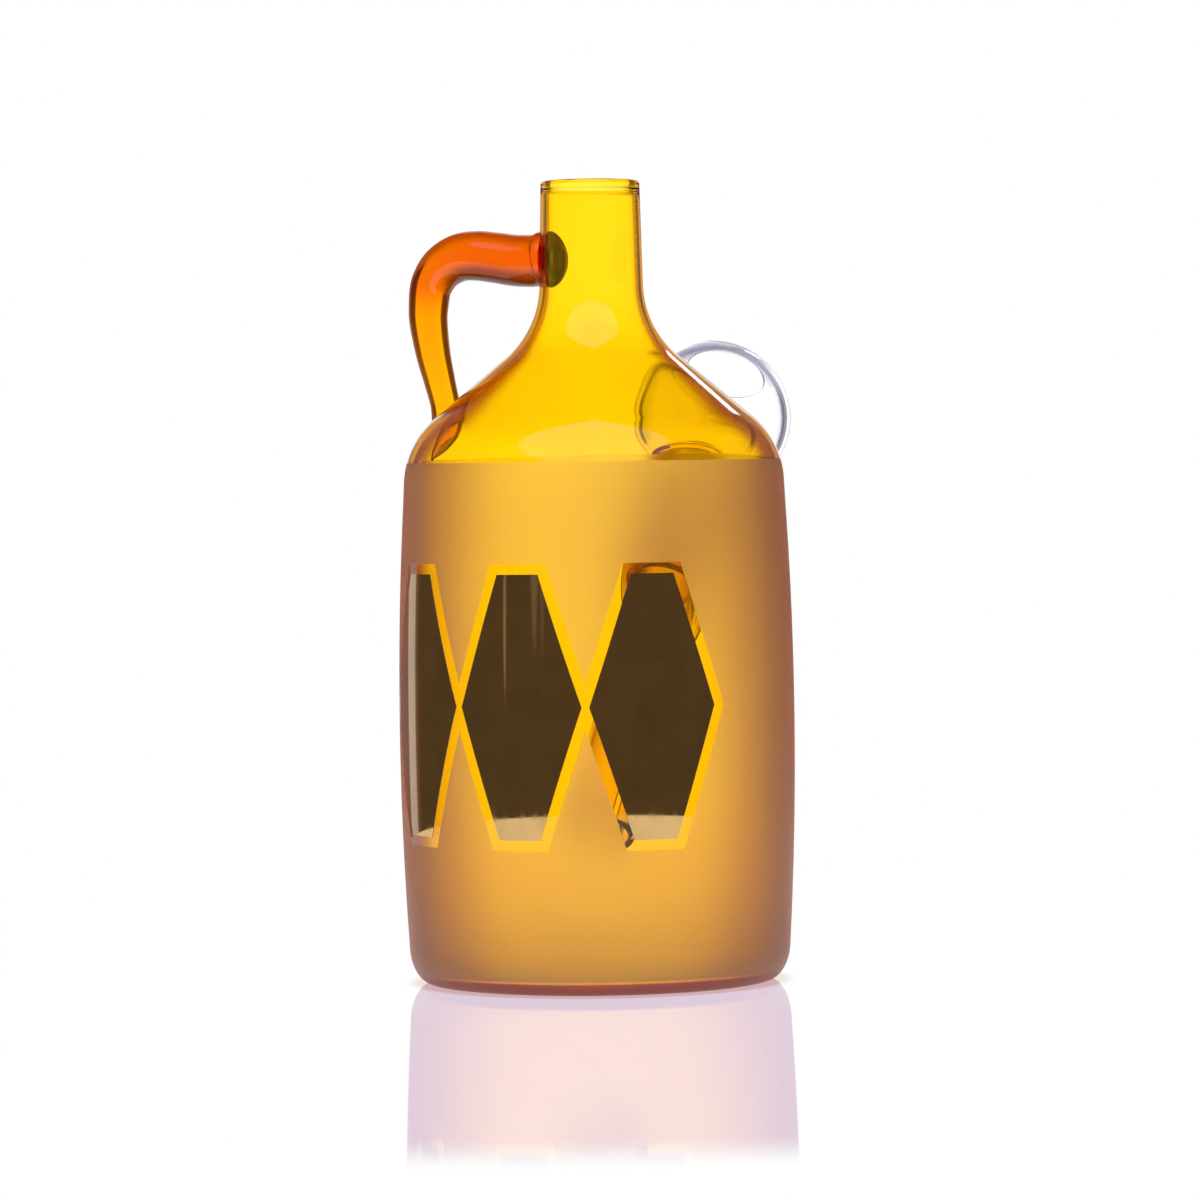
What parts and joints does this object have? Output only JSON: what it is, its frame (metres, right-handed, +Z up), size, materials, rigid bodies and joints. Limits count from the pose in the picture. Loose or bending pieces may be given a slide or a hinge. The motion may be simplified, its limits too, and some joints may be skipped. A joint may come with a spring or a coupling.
{
  "type": "glass water pipe in the shape of a growler jug",
  "caption": "Growler-shaped blown glass water pipe: frosted amber jug with a side handle, slanted ground-joint socket with inner downstem, and a lift-out clear bowl.",
  "frame": {"origin": "centre of the flat base, on the surface it stands on", "axes": "+Z up along the jug's axis; -Y is the front with the motifs; -X is the handle's side; +Y is the back with the ground joint and the bowl"},
  "size_m": [0.0883, 0.1353, 0.178],
  "materials": {
    "frosted_amber_glass": "amber borosilicate, clear and glossy at neck and shoulder, sandblasted matt below",
    "amber_rod_glass": "solid amber rod, fire-polished",
    "amber_weld_glass": "fused amber glass, glossy",
    "amber_tube_glass": "clear amber tube, glossy, ground inside the taper",
    "clear_glass": "clear borosilicate, fire-polished cup and ground taper",
    "dark_lustre": "fired metallic lustre, dark bronze, mirror-like"
  },
  "bodies": {
    "jug": {"jug_body": "frosted_amber_glass", "handle": "amber_rod_glass", "handle_neck_seal": "amber_weld_glass", "handle_foot_seal": "amber_weld_glass", "joint_socket": "amber_tube_glass", "socket_seal": "amber_weld_glass", "downstem": "amber_tube_glass", "lustre_motif_left": "dark_lustre", "lustre_motif_centre": "dark_lustre", "lustre_motif_right": "dark_lustre"},
    "bowl": {"bowl_cup": "clear_glass", "bowl_stem": "clear_glass"}
  },
  "joints": [
    {"name": "bowl_lift", "type": "slide", "parent": "jug", "child": "bowl", "axis": [0, 0.6157, 0.788], "range_m": [0, 0.06]}
  ]
}
